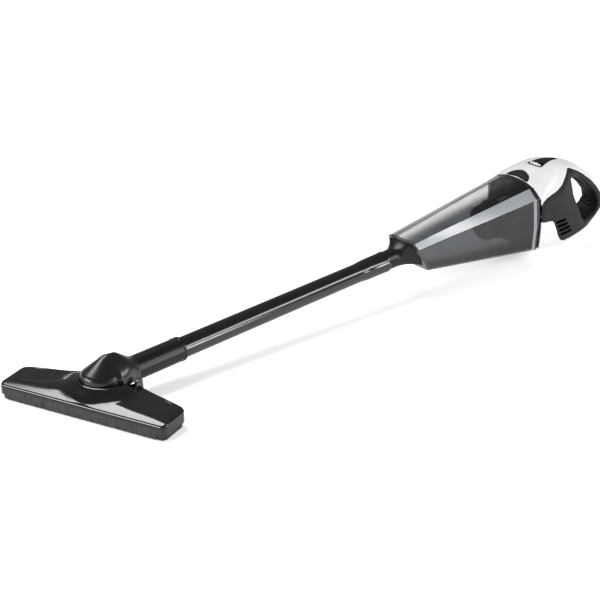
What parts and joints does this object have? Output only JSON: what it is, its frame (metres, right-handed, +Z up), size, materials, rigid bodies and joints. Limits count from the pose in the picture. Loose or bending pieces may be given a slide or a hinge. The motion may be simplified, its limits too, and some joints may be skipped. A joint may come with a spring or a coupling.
{
  "type": "handheld vacuum",
  "caption": "Cordless hand vacuum with a smoke-clear dust bowl and loop handle, fitted to a straight extension tube and a wide swivelling floor head.",
  "frame": {"origin": "on the floor under the floor head, on the swivel axis of the neck", "axes": "+X along the tube in plan, from the floor head to the handle; +Z up; the floor is Z = 0"},
  "size_m": [1.0464, 0.2497, 0.1352],
  "materials": {
    "gloss_black": "gloss",
    "adapter_black": "satin",
    "satin_black": "satin",
    "grip_black": "satin",
    "white_gloss": "gloss",
    "smoke_clear": "clear smoke-tinted plastic",
    "clear_window": "clear plastic",
    "bristle": "bristle",
    "felt": "short pile",
    "filter_cloth": "woven",
    "rubber": "matte",
    "steel": "plated",
    "fan_grey": "satin",
    "cell_wrap": "shrink wrap",
    "board_green": "solder mask"
  },
  "bodies": {
    "floor_head": {"head_cover": "gloss_black", "base_plate": "satin_black", "front_brush": "bristle", "rear_brush": "bristle", "lint_strip": "felt", "head_screws": "steel", "turntable_screw": "steel", "turntable_washer": "steel"},
    "swivel": {"turntable": "satin_black", "pivot_pin": "steel"},
    "neck": {"neck_elbow": "adapter_black", "ball_hood": "gloss_black"},
    "tube": {"extension_tube": "gloss_black"},
    "adapter": {"tube_adapter": "adapter_black"},
    "bowl": {"dust_bowl": "smoke_clear"},
    "hand_unit": {"housing_left": "white_gloss", "housing_right": "white_gloss", "grip_left": "grip_black", "grip_right": "grip_black", "housing_screws": "steel", "bulkhead": "satin_black", "bowl_seal": "rubber", "switch_body": "satin_black", "switch_window": "clear_window", "motor_can": "steel", "motor_mount": "rubber", "fan_shroud": "satin_black", "battery_cells": "cell_wrap", "battery_tray": "satin_black", "charge_board": "board_green", "charge_socket": "satin_black", "release_spring": "steel"},
    "filter": {"filter_cup": "satin_black", "filter_cloth": "filter_cloth", "filter_seat": "satin_black"},
    "release": {"release_button": "grip_black", "release_hook": "satin_black"},
    "power_switch": {"switch_slider": "grip_black"},
    "rotor": {"motor_shaft": "steel", "fan_impeller": "fan_grey"}
  },
  "joints": [
    {"name": "head_swivel", "type": "hinge", "parent": "floor_head", "child": "swivel", "pos_m": [0, 0, 0.005], "axis": [0, 0, 1], "range_deg": [-6, 49]},
    {"name": "neck_pitch", "type": "hinge", "parent": "swivel", "child": "neck", "pos_m": [0, 0, 0.04], "axis": [0, -1, 0], "range_deg": [0, 48]},
    {"name": "tube_pull", "type": "slide", "parent": "neck", "child": "tube", "axis": [0.9986, 0, 0.0527], "range_m": [0, 0.04]},
    {"name": "adapter_pull", "type": "slide", "parent": "tube", "child": "adapter", "axis": [0.9986, 0, 0.0527], "range_m": [0, 0.04]},
    {"name": "bowl_pull", "type": "slide", "parent": "adapter", "child": "bowl", "axis": [0.9986, 0, 0.0527], "range_m": [0, 0.04]},
    {"name": "unit_release", "type": "slide", "parent": "bowl", "child": "hand_unit", "axis": [0.9986, 0, 0.0527], "range_m": [0, 0.09]},
    {"name": "filter_pull", "type": "slide", "parent": "hand_unit", "child": "filter", "axis": [-0.9986, 0, -0.0527], "range_m": [0, 0.02]},
    {"name": "release_press", "type": "slide", "parent": "hand_unit", "child": "release", "axis": [0.0527, 0, -0.9986], "range_m": [0, 0.004], "stiffness_N_per_m": 600, "deforming": ["release_spring"]},
    {"name": "switch_slide", "type": "slide", "parent": "hand_unit", "child": "power_switch", "axis": [-0.9986, 0, -0.0527], "range_m": [0, 0.0045]},
    {"name": "fan_spin", "type": "hinge", "parent": "hand_unit", "child": "rotor", "pos_m": [0.79931, 0, 0.06696], "axis": [0.9986, 0, 0.0527], "continuous": true}
  ]
}
